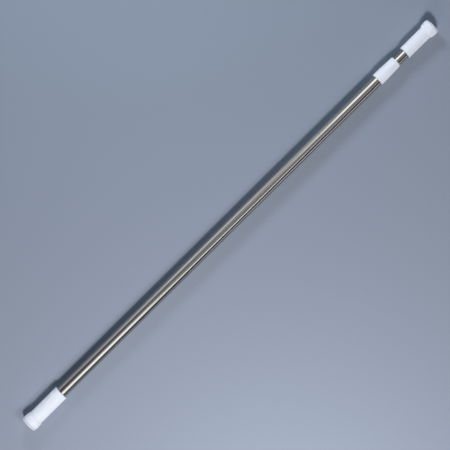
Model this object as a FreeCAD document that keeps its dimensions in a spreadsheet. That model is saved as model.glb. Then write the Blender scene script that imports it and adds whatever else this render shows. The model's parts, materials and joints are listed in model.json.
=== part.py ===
"""Telescopic window security bar: two tubes, a twist lock with an off-centre cam ring, a spring plunger and two feet.

Frame: millimetres, +X along the bar from the outer foot to the inner foot, +Z up, origin at the centre of the outer
foot pad's face. The bar is as short as it goes, with its spring fully out.
"""
import FreeCAD
import Part
import Sketcher
import math
import os

SHEET = "Sizes"

# Driving dimensions in millimetres, angles in degrees.
DRIVING = {
    # tubes
    "outer_tube_length": 909.0,
    "outer_tube_diameter": 22.0,
    "outer_tube_wall": 0.8,
    "tube_gap": 0.7,
    "inner_tube_length": 911.0,
    "inner_tube_wall": 0.7,
    # clearances
    "push_clearance": 0.05,
    "running_clearance": 0.08,
    "end_play": 0.3,
    # end sleeve on the outer tube
    "outer_pad_thickness": 3.8,
    "outer_pad_setback": 0.3,
    "outer_flange_length": 15.2,
    "outer_flange_flare": 1.2,
    "outer_flange_step": 1.15,
    "outer_sleeve_length": 80.2,
    "outer_sleeve_wall": 2.8,
    # end sleeve on the inner tube
    "inner_pad_thickness": 2.6,
    "inner_pad_setback": 0.15,
    "inner_flange_length": 15.4,
    "inner_flange_flare": 1.25,
    "inner_flange_step": 2.05,
    "inner_sleeve_length": 67.9,
    "inner_sleeve_wall": 2.65,
    "closed_reveal": 22.7,
    # both sleeves
    "sleeve_end_wall": 3.0,
    "recess_depth": 2.2,
    "recess_rim": 2.6,
    "step_run": 0.9,
    "edge_round": 0.7,
    "pad_round": 1.2,
    "pad_groove_depth": 0.6,
    "pad_groove_width": 1.0,
    # collar
    "collar_grip_length": 22.4,
    "collar_wall": 1.15,
    "collar_straight_length": 14.0,
    "collar_nose_length": 25.3,
    "collar_nose_wall": 1.35,
    "collar_nose_round": 1.0,
    # foot plugs and screws
    "plug_length": 15.0,
    "plug_rib_height": 0.7,
    "plug_rib_width": 1.2,
    "screw_shank_diameter": 3.5,
    "screw_head_diameter": 7.0,
    "screw_head_height": 2.2,
    "screw_length": 14.0,
    "screw_thread_depth": 0.35,
    "driver_slot_width": 1.1,
    # twist lock
    "lock_washer_thickness": 1.2,
    "cam_offset": 0.5,
    "cam_clearance": 0.4,
    "cam_length": 16.0,
    "cam_journal_diameter": 12.0,
    "cam_slit": 2.0,
    "cam_groove_depth": 0.4,
    "flange_gap": 0.6,
    "core_flange_thickness": 2.5,
    "glide_length": 10.0,
    "glide_journal_diameter": 15.0,
    "glide_slit": 1.5,
    "core_shank_diameter": 12.0,
    "core_shank_length": 16.0,
    "pin_diameter": 2.5,
    # spring plunger
    "rod_diameter": 6.0,
    "rod_flat_width": 4.6,
    "rod_socket_depth": 14.0,
    "spring_length": 56.0,
    "spring_wire": 1.6,
    "spring_clearance": 0.4,
    "spring_turns": 9.0,
    "spring_washer_thickness": 1.0,
    "bush_head_length": 2.0,
    "bush_length": 22.0,
    "bush_pin_diameter": 3.0,
    "bush_pin_length": 4.5,
    "bush_pin_setback": 8.0,
    "bush_pin_sink": 0.2,
    "stop_thread_diameter": 5.0,
    "stop_washer_thickness": 1.2,
    "stop_washer_diameter": 12.0,
    "stop_nut_width": 8.0,
    "stop_nut_height": 4.6,
    "rod_overrun": 2.0,
}
PLUG_RIBS = 6
PAD_GROOVES = 4
CAM_GROOVES = 3
SCREW_THREADS = 9


class Size:
    """A length known both as a number and as the sheet expression that drives it."""

    def __init__(self, number, text):
        self.number = number
        self.text = text

    def __add__(self, other):
        other = as_size(other)
        return Size(self.number + other.number, f"({self.text} + {other.text})")

    def __sub__(self, other):
        other = as_size(other)
        return Size(self.number - other.number, f"({self.text} - {other.text})")

    def __mul__(self, factor):
        factor = as_size(factor)
        return Size(self.number * factor.number, f"({self.text} * {factor.text})")

    def __truediv__(self, divisor):
        divisor = as_size(divisor)
        return Size(self.number / divisor.number, f"({self.text} / {divisor.text})")


def as_size(value):
    """Plain numbers become sizes that are their own expression."""
    if isinstance(value, Size):
        return value
    return Size(float(value), repr(float(value)))


def size(alias):
    """The driving dimension in the sheet's cell of that alias."""
    return Size(DRIVING[alias], f"{SHEET}.{alias}")


def larger(one, other):
    """The larger of two sizes."""
    return Size(max(one.number, other.number), f"max({one.text}; {other.text})")


ZERO = as_size(0)

# Radii that several pieces share.
OUTER_RADIUS = size("outer_tube_diameter") / 2
OUTER_BORE = OUTER_RADIUS - size("outer_tube_wall")
INNER_RADIUS = OUTER_BORE - size("tube_gap")
INNER_BORE = INNER_RADIUS - size("inner_tube_wall")
SLEEVE_RADIUS = {
    "outer": OUTER_RADIUS + size("outer_sleeve_wall"),
    "inner": INNER_RADIUS + size("inner_sleeve_wall"),
}
NECK_RADIUS = {side: SLEEVE_RADIUS[side] + size(f"{side}_flange_step") for side in SLEEVE_RADIUS}
MOUTH_RADIUS = {side: NECK_RADIUS[side] + size(f"{side}_flange_flare") for side in SLEEVE_RADIUS}
RECESS_RADIUS = {side: MOUTH_RADIUS[side] - size("recess_rim") for side in SLEEVE_RADIUS}
TUBE_RADIUS = {"outer": OUTER_RADIUS, "inner": INNER_RADIUS}
TUBE_BORE = {"outer": OUTER_BORE, "inner": INNER_BORE}
SHANK_RADIUS = size("screw_shank_diameter") / 2
SCREW_HEAD_RADIUS = size("screw_head_diameter") / 2
CAM_JOURNAL = size("cam_journal_diameter") / 2
GLIDE_JOURNAL = size("glide_journal_diameter") / 2
CORE_SHANK = size("core_shank_diameter") / 2
CORE_FLANGE = OUTER_BORE - size("flange_gap")
ROD_RADIUS = size("rod_diameter") / 2
ROD_FLAT = size("rod_flat_width") / 2
STOP_THREAD = size("stop_thread_diameter") / 2

# Places along the bar.
OUTER_SLEEVE_X = size("outer_pad_thickness")
OUTER_TUBE_X = OUTER_SLEEVE_X + size("recess_depth") + size("sleeve_end_wall")
OUTER_MOUTH_X = OUTER_TUBE_X + size("outer_tube_length")
COLLAR_X = OUTER_MOUTH_X - size("collar_grip_length")
COLLAR_NOSE_X = OUTER_MOUTH_X + size("collar_nose_length")
LOCK_STACK = (
    size("screw_head_height") + size("lock_washer_thickness") + size("cam_length") + size("core_flange_thickness")
    + size("glide_length") + size("core_flange_thickness"))
PLUNGER_STACK = size("spring_length") + size("spring_washer_thickness") + size("bush_head_length")
INNER_SECTION_LENGTH = size("inner_tube_length") + size("sleeve_end_wall") + size("recess_depth")

# The bar is closed when its lock meets the plug or its sleeve is a reveal away from the collar, whichever is first.
LOCK_SCREW_X = larger(
    OUTER_TUBE_X + size("plug_length") + size("end_play"),
    COLLAR_NOSE_X + size("closed_reveal") + size("inner_sleeve_length")
    - INNER_SECTION_LENGTH - PLUNGER_STACK - LOCK_STACK)
LOCK_WASHER_X = LOCK_SCREW_X + size("screw_head_height")
CORE_X = LOCK_WASHER_X + size("lock_washer_thickness")
GLIDE_X = CORE_X + size("cam_length") + size("core_flange_thickness")
CORE_LAND_X = GLIDE_X + size("glide_length")
CORE_SHANK_X = CORE_LAND_X + size("core_flange_thickness")
SPRING_END_X = CORE_SHANK_X + size("spring_length")
BUSH_HEAD_X = SPRING_END_X + size("spring_washer_thickness")
INNER_TUBE_X = BUSH_HEAD_X + size("bush_head_length")
ROD_X = CORE_SHANK_X + size("core_shank_length") - size("rod_socket_depth")
STOP_X = INNER_TUBE_X + size("bush_length") + size("end_play")
INNER_TUBE_END_X = INNER_TUBE_X + size("inner_tube_length")
INNER_SLEEVE_X = INNER_TUBE_END_X + size("sleeve_end_wall") + size("recess_depth")
INNER_FACE_X = INNER_SLEEVE_X + size("inner_pad_thickness")

document = FreeCAD.newDocument("WindowSecurityBar")
parts = []


def make_sheet():
    """One named cell for each driving dimension."""
    sheet = document.addObject("Spreadsheet::Sheet", SHEET)
    for row, (alias, value) in enumerate(DRIVING.items(), start=1):
        sheet.set(f"A{row}", alias)
        sheet.set(f"B{row}", str(value))
        sheet.setAlias(f"B{row}", alias)
    document.recompute()


# --- sketch tools ---------------------------------------------------------------------------------------------------

def new_body(label, x, turned=False):
    """An empty body at that place along the bar; turned bodies run from the inner foot back towards the middle."""
    body = document.addObject("PartDesign::Body", label)
    body.Label = label
    if turned:
        body.Placement.Rotation = FreeCAD.Rotation(FreeCAD.Vector(0, 0, 1), 180)
    body.setExpression("Placement.Base.x", x.text)
    parts.append(body)
    return body


def new_sketch(body, name, role):
    """A sketch on one of the body's own origin planes: XY_Plane, XZ_Plane or YZ_Plane."""
    plane = next(f for f in body.Origin.OriginFeatures if f.Role == role)
    sketch = body.newObject("Sketcher::SketchObject", name)
    sketch.AttachmentSupport = (plane, [""])
    sketch.MapMode = "FlatFace"
    return sketch


def bind(sketch, kind, *refs, value):
    """Adds a dimension to the sketch and ties it to the sheet."""
    index = sketch.addConstraint(Sketcher.Constraint(kind, *refs, value.number))
    sketch.setExpression(f"Constraints[{index}]", value.text)


def pin_point(sketch, geometry, end, x, y):
    """Holds a point at (x, y) from the sketch's origin."""
    if x is ZERO:
        sketch.addConstraint(Sketcher.Constraint("PointOnObject", geometry, end, -2))
    else:
        bind(sketch, "DistanceX", -1, 1, geometry, end, value=x)
    if y is ZERO:
        sketch.addConstraint(Sketcher.Constraint("PointOnObject", geometry, end, -1))
    else:
        bind(sketch, "DistanceY", -1, 1, geometry, end, value=y)


def corner_arc(before, corner, after, radius):
    """The arc that rounds a corner: its two tangent points, its centre, and whether it runs anticlockwise."""
    back = (before - corner).normalize()
    on = (after - corner).normalize()
    half = back.getAngle(on) / 2
    reach = radius / math.tan(half)
    centre = corner + (back + on).normalize() * (radius / math.sin(half))
    anticlockwise = back.cross(on).z < 0
    return corner + back * reach, corner + on * reach, centre, anticlockwise


def outline(sketch, points):
    """A closed outline. Each point is (x, y) or (x, y, corner radius), in order round the shape."""
    corners = [FreeCAD.Vector(p[0].number, p[1].number, 0) for p in points]
    count = len(points)
    starts = list(corners)
    ends = list(corners)
    arcs = {}
    for i, point in enumerate(points):
        if len(point) == 3:
            arc = corner_arc(corners[i - 1], corners[i], corners[(i + 1) % count], point[2].number)
            ends[i], starts[i] = arc[0], arc[1]
            arcs[i] = arc
    for i in range(count):
        sketch.addGeometry(Part.LineSegment(starts[i], ends[(i + 1) % count]), False)
    for i, point in enumerate(points):
        line_in = (i - 1) % count
        if i not in arcs:
            sketch.addConstraint(Sketcher.Constraint("Coincident", line_in, 2, i, 1))
            pin_point(sketch, i, 1, point[0], point[1])
            continue
        round_corner(sketch, point, corners[i], arcs[i], line_in, i)


def round_corner(sketch, point, corner, arc_facts, line_in, line_out):
    """Adds the tangent arc of one rounded corner, with the sharp corner kept as a construction point."""
    first, last, centre, anticlockwise = arc_facts
    start, stop = (first, last) if anticlockwise else (last, first)
    circle = Part.Circle(centre, FreeCAD.Vector(0, 0, 1), point[2].number)
    arc = sketch.addGeometry(Part.ArcOfCircle(circle, circle.parameter(start), circle.parameter(stop)), False)
    into, out = (1, 2) if anticlockwise else (2, 1)
    sketch.addConstraint(Sketcher.Constraint("Tangent", line_in, 2, arc, into))
    sketch.addConstraint(Sketcher.Constraint("Tangent", line_out, 1, arc, out))
    bind(sketch, "Radius", arc, value=point[2])
    mark = sketch.addGeometry(Part.Point(corner), True)
    sketch.addConstraint(Sketcher.Constraint("PointOnObject", mark, 1, line_in))
    sketch.addConstraint(Sketcher.Constraint("PointOnObject", mark, 1, line_out))
    pin_point(sketch, mark, 1, point[0], point[1])


def circle(sketch, radius, x=ZERO, y=ZERO):
    """A full circle at (x, y)."""
    centre = FreeCAD.Vector(x.number, y.number, 0)
    index = sketch.addGeometry(Part.Circle(centre, FreeCAD.Vector(0, 0, 1), radius.number), False)
    pin_point(sketch, index, 3, x, y)
    bind(sketch, "Radius", index, value=radius)


def two_flats(sketch, radius, flat):
    """A circle cut by two level flats, each that far from the centre."""
    angle = math.asin(flat.number / radius.number)
    half = radius.number * math.cos(angle)
    ring = Part.Circle(FreeCAD.Vector(0, 0, 0), FreeCAD.Vector(0, 0, 1), radius.number)
    right = sketch.addGeometry(Part.ArcOfCircle(ring, -angle, angle), False)
    left = sketch.addGeometry(Part.ArcOfCircle(ring, math.pi - angle, math.pi + angle), False)
    top_ends = (FreeCAD.Vector(half, flat.number, 0), FreeCAD.Vector(-half, flat.number, 0))
    low_ends = (FreeCAD.Vector(-half, -flat.number, 0), FreeCAD.Vector(half, -flat.number, 0))
    top = sketch.addGeometry(Part.LineSegment(*top_ends), False)
    low = sketch.addGeometry(Part.LineSegment(*low_ends), False)
    for arc in (right, left):
        sketch.addConstraint(Sketcher.Constraint("Coincident", arc, 3, -1, 1))
    bind(sketch, "Radius", right, value=radius)
    sketch.addConstraint(Sketcher.Constraint("Equal", right, left))
    for one, one_end, other, other_end in ((right, 2, top, 1), (top, 2, left, 1), (left, 2, low, 1), (low, 2, right, 1)):
        sketch.addConstraint(Sketcher.Constraint("Coincident", one, one_end, other, other_end))
    sketch.addConstraint(Sketcher.Constraint("Horizontal", top))
    sketch.addConstraint(Sketcher.Constraint("Horizontal", low))
    bind(sketch, "DistanceY", -1, 1, top, 1, value=flat)
    bind(sketch, "DistanceY", low, 1, -1, 1, value=flat)


def slab(sketch, half_width, low, high):
    """A rectangle across the vertical axis of the sketch, from low to high."""
    corners = [(-half_width.number, low), (half_width.number, low), (half_width.number, high), (-half_width.number, high)]
    spots = [FreeCAD.Vector(x, y.number, 0) for x, y in corners]
    for i in range(4):
        sketch.addGeometry(Part.LineSegment(spots[i], spots[(i + 1) % 4]), False)
        sketch.addConstraint(Sketcher.Constraint("Horizontal" if i % 2 == 0 else "Vertical", i))
    for i in range(4):
        sketch.addConstraint(Sketcher.Constraint("Coincident", i, 2, (i + 1) % 4, 1))
    bind(sketch, "DistanceX", 0, 1, -1, 1, value=half_width)
    bind(sketch, "DistanceX", -1, 1, 0, 2, value=half_width)
    bind(sketch, "DistanceY", -1, 1, 2, 1, value=high)
    if low is ZERO:
        sketch.addConstraint(Sketcher.Constraint("PointOnObject", 0, 1, -1))
    else:
        bind(sketch, "DistanceY", -1, 1, 0, 1, value=low)


# --- feature tools --------------------------------------------------------------------------------------------------

def turned(body, points, name="Turned"):
    """A turned solid: the outline lies in the XY plane, x along the bar and y the radius."""
    sketch = new_sketch(body, f"{name}Outline", "XY_Plane")
    outline(sketch, points)
    feature = body.newObject("PartDesign::Revolution", name)
    feature.Profile = sketch
    feature.ReferenceAxis = (sketch, ["H_Axis"])
    feature.Angle = 360
    return feature


def extruded(body, sketch, name, length):
    """A solid that runs along +X from a cross-section."""
    feature = body.newObject("PartDesign::Pad", name)
    feature.Profile = sketch
    feature.setExpression("Length", length.text)
    return feature


def cut(body, sketch, name, length=None, both_ways=False, reverse=False):
    """A pocket of that length, or right through, and a check that it removes something."""
    document.recompute()
    before = body.Shape.Volume
    feature = body.newObject("PartDesign::Pocket", name)
    feature.Profile = sketch
    feature.Reversed = reverse
    if both_ways:
        feature.SideType = "Symmetric"
    if length is None:
        feature.Type = "ThroughAll"
    else:
        feature.setExpression("Length", length.text)
    document.recompute()
    if body.Shape.Volume >= before:
        raise RuntimeError(f"{name} of {body.Label} cuts nothing")
    return feature


def round_about_x(body, feature, count, name):
    """Repeats a feature round the bar's axis."""
    pattern = body.newObject("PartDesign::PolarPattern", name)
    pattern.Originals = [feature]
    pattern.Axis = (next(f for f in body.Origin.OriginFeatures if f.Role == "X_Axis"), [""])
    pattern.Angle = 360
    pattern.Occurrences = count
    body.Tip = pattern
    return pattern


def ring_points(length, bore, radius):
    """The outline of a plain ring."""
    return [(ZERO, bore), (length, bore), (length, radius), (ZERO, radius)]


# --- tubes ----------------------------------------------------------------------------------------------------------

def outer_tube():
    body = new_body("outer_tube", OUTER_TUBE_X)
    turned(body, ring_points(size("outer_tube_length"), OUTER_BORE, OUTER_RADIUS))


def inner_tube():
    """The inner tube, cross-drilled for the two pins of its bush."""
    body = new_body("inner_tube", INNER_TUBE_X)
    turned(body, ring_points(size("inner_tube_length"), INNER_BORE, INNER_RADIUS))
    sketch = new_sketch(body, "PinHoles", "XZ_Plane")
    circle(sketch, size("bush_pin_diameter") / 2, x=size("bush_pin_setback"))
    cut(body, sketch, "DrilledPinHoles", both_ways=True)


# --- feet -----------------------------------------------------------------------------------------------------------

def end_sleeve(side, x, is_turned):
    """Moulded sleeve: a cup over the tube's end, with a flared flange and a recess for the foot pad."""
    body = new_body(f"{side}_end_sleeve", x, is_turned)
    recess = size("recess_depth")
    seat = recess + size("sleeve_end_wall")
    length = size(f"{side}_sleeve_length")
    flange = size(f"{side}_flange_length")
    rounding = size("edge_round")
    bore = TUBE_RADIUS[side] + size("push_clearance")
    turned(body, [
        (ZERO, RECESS_RADIUS[side]),
        (recess, RECESS_RADIUS[side]),
        (recess, SHANK_RADIUS + size("end_play")),
        (seat, SHANK_RADIUS + size("end_play")),
        (seat, bore),
        (length, bore),
        (length, SLEEVE_RADIUS[side], rounding / 2),
        (flange, SLEEVE_RADIUS[side], rounding / 2),
        (flange - size("step_run"), NECK_RADIUS[side], rounding / 2),
        (ZERO, MOUTH_RADIUS[side], rounding),
    ])


def foot_pad(side, x, is_turned):
    """Non-slip pad: rounded disc with ring grooves on its face and a spigot that fits the sleeve's recess."""
    body = new_body(f"{side}_foot_pad", x, is_turned)
    thickness = size(f"{side}_pad_thickness")
    radius = MOUTH_RADIUS[side] - size(f"{side}_pad_setback")
    spigot = RECESS_RADIUS[side] - size("push_clearance")
    hollow = SCREW_HEAD_RADIUS + size("end_play")
    spigot_end = thickness + size("recess_depth")
    depth = size("pad_groove_depth")
    width = size("pad_groove_width")
    pitch = (radius - hollow) / (PAD_GROOVES + 1)
    face = [(ZERO, ZERO)]
    for groove in range(PAD_GROOVES):
        inner = hollow + pitch * groove
        face += [(ZERO, inner), (depth, inner), (depth, inner + width), (ZERO, inner + width)]
    turned(body, face + [
        (ZERO, radius, size("pad_round")),
        (thickness, radius, size("edge_round")),
        (thickness, spigot),
        (spigot_end, spigot),
        (spigot_end, hollow),
        (thickness, hollow),
        (thickness, ZERO),
    ])


def end_plug(side, x, is_turned):
    """Ribbed plug pushed into the tube's foot end, with a pilot hole for the foot screw."""
    body = new_body(f"{side}_end_plug", x, is_turned)
    length = size("plug_length")
    rib_top = TUBE_BORE[side] - size("push_clearance")
    root = rib_top - size("plug_rib_height")
    turned(body, ring_points(length, SHANK_RADIUS + size("push_clearance"), root))
    sketch = new_sketch(body, "RibSection", "YZ_Plane")
    slab(sketch, size("plug_rib_width") / 2, root - size("plug_rib_height"), rib_top)
    rib = extruded(body, sketch, "Rib", length)
    round_about_x(body, rib, PLUG_RIBS, "Ribs")


def pan_screw(label, x, shank, is_turned=False):
    """Pan-head screw: the head's top is at the local origin and the shank runs along the body's own +X."""
    body = new_body(label, x, is_turned)
    head = size("screw_head_height")
    root = SHANK_RADIUS - size("screw_thread_depth")
    pitch = shank / (SCREW_THREADS + 1)
    thread = []
    for turn in range(SCREW_THREADS):
        crest = head + shank - pitch * (turn + 1)
        thread += [(crest, SHANK_RADIUS), (crest - pitch / 2, root)]
    turned(body, [
        (ZERO, ZERO),
        (head + shank, ZERO),
        *thread,
        (head, root),
        (head, SCREW_HEAD_RADIUS),
        (ZERO, SCREW_HEAD_RADIUS, head / 2),
    ])
    for name, role in (("SlotAcross", "XY_Plane"), ("SlotDown", "XZ_Plane")):
        sketch = new_sketch(body, name, role)
        driver_slot(sketch, head / 2, size("screw_head_diameter") / 3)
        cut(body, sketch, f"Cut{name}", length=size("driver_slot_width"), both_ways=True)


def driver_slot(sketch, depth, half_length):
    """A rectangle at the sketch's origin: depth along the screw, half_length to each side."""
    spots = [(0, -1), (1, -1), (1, 1), (0, 1)]
    corners = [FreeCAD.Vector(depth.number * a, half_length.number * b, 0) for a, b in spots]
    for i in range(4):
        sketch.addGeometry(Part.LineSegment(corners[i], corners[(i + 1) % 4]), False)
        sketch.addConstraint(Sketcher.Constraint("Horizontal" if i % 2 == 0 else "Vertical", i))
    for i in range(4):
        sketch.addConstraint(Sketcher.Constraint("Coincident", i, 2, (i + 1) % 4, 1))
    sketch.addConstraint(Sketcher.Constraint("PointOnObject", 0, 1, -2))
    bind(sketch, "DistanceX", 0, 1, 0, 2, value=depth)
    bind(sketch, "DistanceY", 0, 1, -1, 1, value=half_length)
    bind(sketch, "DistanceY", -1, 1, 2, 1, value=half_length)


def foot(side, face_x, is_turned):
    """Everything that closes one end of the bar."""
    inwards = -1 if is_turned else 1
    pad = size(f"{side}_pad_thickness")
    seat = size("recess_depth")
    wall = size("sleeve_end_wall")
    foot_pad(side, face_x, is_turned)
    end_sleeve(side, face_x + pad * inwards, is_turned)
    pan_screw(f"{side}_foot_screw", face_x + pad * inwards, size("screw_length"), is_turned)
    end_plug(side, face_x + (pad + seat + wall) * inwards, is_turned)


def mouth_collar():
    """Tapered collar pushed on the outer tube's mouth; its nose guides the inner tube."""
    body = new_body("mouth_collar", COLLAR_X)
    grip = size("collar_grip_length")
    length = grip + size("collar_nose_length")
    grip_bore = OUTER_RADIUS + size("push_clearance")
    nose_bore = INNER_RADIUS + size("running_clearance")
    rounding = size("collar_nose_round")
    turned(body, [
        (ZERO, grip_bore),
        (grip, grip_bore),
        (grip, nose_bore),
        (length, nose_bore),
        (length, nose_bore + size("collar_nose_wall"), rounding),
        (size("collar_straight_length"), grip_bore + size("collar_wall")),
        (ZERO, grip_bore + size("collar_wall"), size("edge_round") / 2),
    ])


# --- twist lock -----------------------------------------------------------------------------------------------------

def cam_core():
    """Core of the twist lock: off-centre cam journal, two lands with the glide journal between, and a shank."""
    body = new_body("cam_core", CORE_X)
    cam = size("cam_length")
    land = size("core_flange_thickness")
    glide = cam + land
    second_land = glide + size("glide_length")
    shank = second_land + land
    end = shank + size("core_shank_length")
    journal = new_sketch(body, "JournalSection", "YZ_Plane")
    circle(journal, CAM_JOURNAL, y=size("cam_offset"))
    extruded(body, journal, "CamJournal", cam + land / 2)
    turned(body, [
        (cam, ZERO),
        (end, ZERO),
        (end, CORE_SHANK, size("edge_round")),
        (shank, CORE_SHANK),
        (shank, CORE_FLANGE),
        (second_land, CORE_FLANGE),
        (second_land, GLIDE_JOURNAL),
        (glide, GLIDE_JOURNAL),
        (glide, CORE_FLANGE),
        (cam, CORE_FLANGE),
    ])
    pilot = new_sketch(body, "ScrewHole", "YZ_Plane")
    circle(pilot, SHANK_RADIUS + size("push_clearance"))
    cut(body, pilot, "DrilledScrewHole", length=cam, reverse=True)
    socket = new_sketch(body, "RodSocket", "YZ_Plane")
    socket.AttachmentOffset.Base = FreeCAD.Vector(0, 0, end.number)
    socket.setExpression("AttachmentOffset.Base.z", end.text)
    two_flats(socket, ROD_RADIUS + size("push_clearance"), ROD_FLAT + size("push_clearance"))
    cut(body, socket, "SunkRodSocket", length=size("rod_socket_depth"))
    cross = new_sketch(body, "CrossHole", "XZ_Plane")
    circle(cross, size("pin_diameter") / 2 + size("push_clearance"), x=end - size("rod_socket_depth") / 2)
    cut(body, cross, "DrilledCrossHole", both_ways=True)


def cam_ring():
    """Split ring, concentric with the tube outside and with the off-centre journal inside."""
    body = new_body("cam_ring", CORE_X + size("end_play") / 2)
    length = size("cam_length") - size("end_play")
    radius = OUTER_BORE - size("cam_clearance")
    depth = size("cam_groove_depth")
    pitch = length / (CAM_GROOVES * 2 + 1)
    grooves = []
    for groove in range(CAM_GROOVES):
        high = length - pitch * (groove * 2 + 1)
        grooves += [(high, radius), (high, radius - depth), (high - pitch, radius - depth), (high - pitch, radius)]
    turned(body, [(ZERO, ZERO), (length, ZERO), (length, radius), *grooves, (ZERO, radius)])
    bore = new_sketch(body, "OffCentreBore", "YZ_Plane")
    circle(bore, CAM_JOURNAL + size("running_clearance"), y=size("cam_offset"))
    cut(body, bore, "BoredOffCentre", reverse=True)
    slit = new_sketch(body, "Slit", "YZ_Plane")
    slab(slit, size("cam_slit") / 2, ZERO, OUTER_BORE)
    cut(body, slit, "SawnSlit", reverse=True)


def glide_ring():
    """Split nylon ring that runs on the core's plain journal and against the outer tube's bore."""
    body = new_body("glide_ring", GLIDE_X + size("end_play") / 2)
    length = size("glide_length") - size("end_play")
    bore = GLIDE_JOURNAL + size("running_clearance")
    turned(body, ring_points(length, bore, OUTER_BORE - size("running_clearance")))
    slit = new_sketch(body, "Slit", "YZ_Plane")
    slab(slit, size("glide_slit") / 2, ZERO, OUTER_BORE)
    cut(body, slit, "SawnSlit", reverse=True)


def washer(label, x, thickness, bore, radius):
    body = new_body(label, x)
    turned(body, ring_points(thickness, bore, radius))


def core_pin():
    """Cross pin through the core's shank and the rod."""
    body = new_body("core_pin", ROD_X + size("rod_socket_depth") / 2)
    section = new_sketch(body, "PinSection", "XZ_Plane")
    circle(section, size("pin_diameter") / 2)
    feature = extruded(body, section, "Pin", CORE_SHANK * 2)
    feature.SideType = "Symmetric"


# --- spring plunger -------------------------------------------------------------------------------------------------

def plunger_rod():
    """Rod with two flats for most of its length, a cross hole for the pin and a round threaded end."""
    body = new_body("plunger_rod", ROD_X)
    flats_length = STOP_X - ROD_X
    thread_length = size("stop_washer_thickness") + size("stop_nut_height") + size("rod_overrun")
    section = new_sketch(body, "RodSection", "YZ_Plane")
    two_flats(section, ROD_RADIUS, ROD_FLAT)
    extruded(body, section, "FlattedRod", flats_length)
    end = new_sketch(body, "ThreadSection", "YZ_Plane")
    circle(end, ROD_FLAT - size("push_clearance"))
    extruded(body, end, "ThreadedEnd", flats_length + thread_length)
    cross = new_sketch(body, "CrossHole", "XZ_Plane")
    circle(cross, size("pin_diameter") / 2 + size("push_clearance"), x=size("rod_socket_depth") / 2)
    cut(body, cross, "DrilledCrossHole", both_ways=True)


def compression_spring():
    """Helical spring, ground flat at both ends, between the core's land and the spring washer."""
    body = new_body("compression_spring", CORE_SHANK_X)
    length = size("spring_length")
    wire = size("spring_wire") / 2
    coil = CORE_SHANK + size("spring_clearance") + wire
    section = new_sketch(body, "WireSection", "XY_Plane")
    circle(section, wire, y=coil)
    helix = body.newObject("PartDesign::AdditiveHelix", "Coils")
    helix.Profile = section
    helix.ReferenceAxis = (section, ["H_Axis"])
    helix.Mode = "height-turns-angle"
    helix.setExpression("Height", length.text)
    helix.setExpression("Turns", size("spring_turns").text)
    document.recompute()
    grind_end(body, "GroundStart", ZERO, coil + wire * 2, False)
    grind_end(body, "GroundEnd", length, coil + wire * 2, True)


def grind_end(body, name, x, radius, beyond):
    """Cuts away what lies before x, or beyond it."""
    sketch = new_sketch(body, f"{name}Disc", "YZ_Plane")
    sketch.AttachmentOffset.Base = FreeCAD.Vector(0, 0, x.number)
    sketch.setExpression("AttachmentOffset.Base.z", x.text)
    circle(sketch, radius)
    cut(body, sketch, name, length=size("spring_wire") * 2, reverse=beyond)


def tube_bush():
    """Bush in the inner tube's hidden end, with the two-flat bore that the rod slides in."""
    body = new_body("tube_bush", BUSH_HEAD_X)
    head = size("bush_head_length")
    end = head + size("bush_length")
    turned(body, [
        (ZERO, ZERO),
        (end, ZERO),
        (end, INNER_BORE - size("push_clearance"), size("edge_round")),
        (head, INNER_BORE - size("push_clearance")),
        (head, INNER_RADIUS),
        (ZERO, INNER_RADIUS, size("edge_round")),
    ])
    bore = new_sketch(body, "FlattedBore", "YZ_Plane")
    two_flats(bore, ROD_RADIUS + size("running_clearance"), ROD_FLAT + size("running_clearance"))
    cut(body, bore, "BroachedBore", reverse=True)
    pins = new_sketch(body, "PinHoles", "XZ_Plane")
    circle(pins, size("bush_pin_diameter") / 2, x=head + size("bush_pin_setback"))
    cut(body, pins, "DrilledPinHoles", both_ways=True)


def bush_pins():
    """Two drive pins, one from each side, flush with the inner tube."""
    pins = []
    for side, turn in (("Near", 90), ("Far", -90)):
        pin = document.addObject("Part::Cylinder", f"BushPin{side}")
        pin.setExpression("Radius", (size("bush_pin_diameter") / 2 - size("push_clearance")).text)
        pin.setExpression("Height", size("bush_pin_length").text)
        pin.Placement.Rotation = FreeCAD.Rotation(FreeCAD.Vector(1, 0, 0), turn)
        outer_end = (INNER_RADIUS - size("bush_pin_sink")) * (turn / 90)
        pin.setExpression("Placement.Base.y", outer_end.text)
        pins.append(pin)
    group = document.addObject("Part::Compound", "bush_pins")
    group.Links = pins
    group.Label = "bush_pins"
    group.setExpression("Placement.Base.x", (INNER_TUBE_X + size("bush_pin_setback")).text)
    parts.append(group)


def stop_nut():
    """Hexagon lock nut on the rod's threaded end."""
    body = new_body("stop_nut", STOP_X + size("stop_washer_thickness"))
    corner = size("stop_nut_width") / (2 * math.cos(math.pi / 6))
    section = new_sketch(body, "HexSection", "YZ_Plane")
    hexagon(section, corner)
    extruded(body, section, "Hexagon", size("stop_nut_height"))
    hole = new_sketch(body, "ThreadHole", "YZ_Plane")
    circle(hole, ROD_FLAT)
    cut(body, hole, "TappedHole", reverse=True)


def hexagon(sketch, corner):
    """A regular hexagon about the origin with two corners on the level axis."""
    spots = [FreeCAD.Vector(corner.number * math.cos(math.pi / 3 * i), corner.number * math.sin(math.pi / 3 * i), 0)
             for i in range(6)]
    for i in range(6):
        sketch.addGeometry(Part.LineSegment(spots[i], spots[(i + 1) % 6]), False)
    guide = sketch.addGeometry(Part.Circle(FreeCAD.Vector(0, 0, 0), FreeCAD.Vector(0, 0, 1), corner.number), True)
    sketch.addConstraint(Sketcher.Constraint("Coincident", guide, 3, -1, 1))
    bind(sketch, "Radius", guide, value=corner)
    for i in range(6):
        sketch.addConstraint(Sketcher.Constraint("Coincident", i, 2, (i + 1) % 6, 1))
        sketch.addConstraint(Sketcher.Constraint("PointOnObject", i, 1, guide))
    for i in range(5):
        sketch.addConstraint(Sketcher.Constraint("Equal", i, i + 1))
    sketch.addConstraint(Sketcher.Constraint("PointOnObject", 0, 1, -1))


# --- the bar --------------------------------------------------------------------------------------------------------

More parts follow.
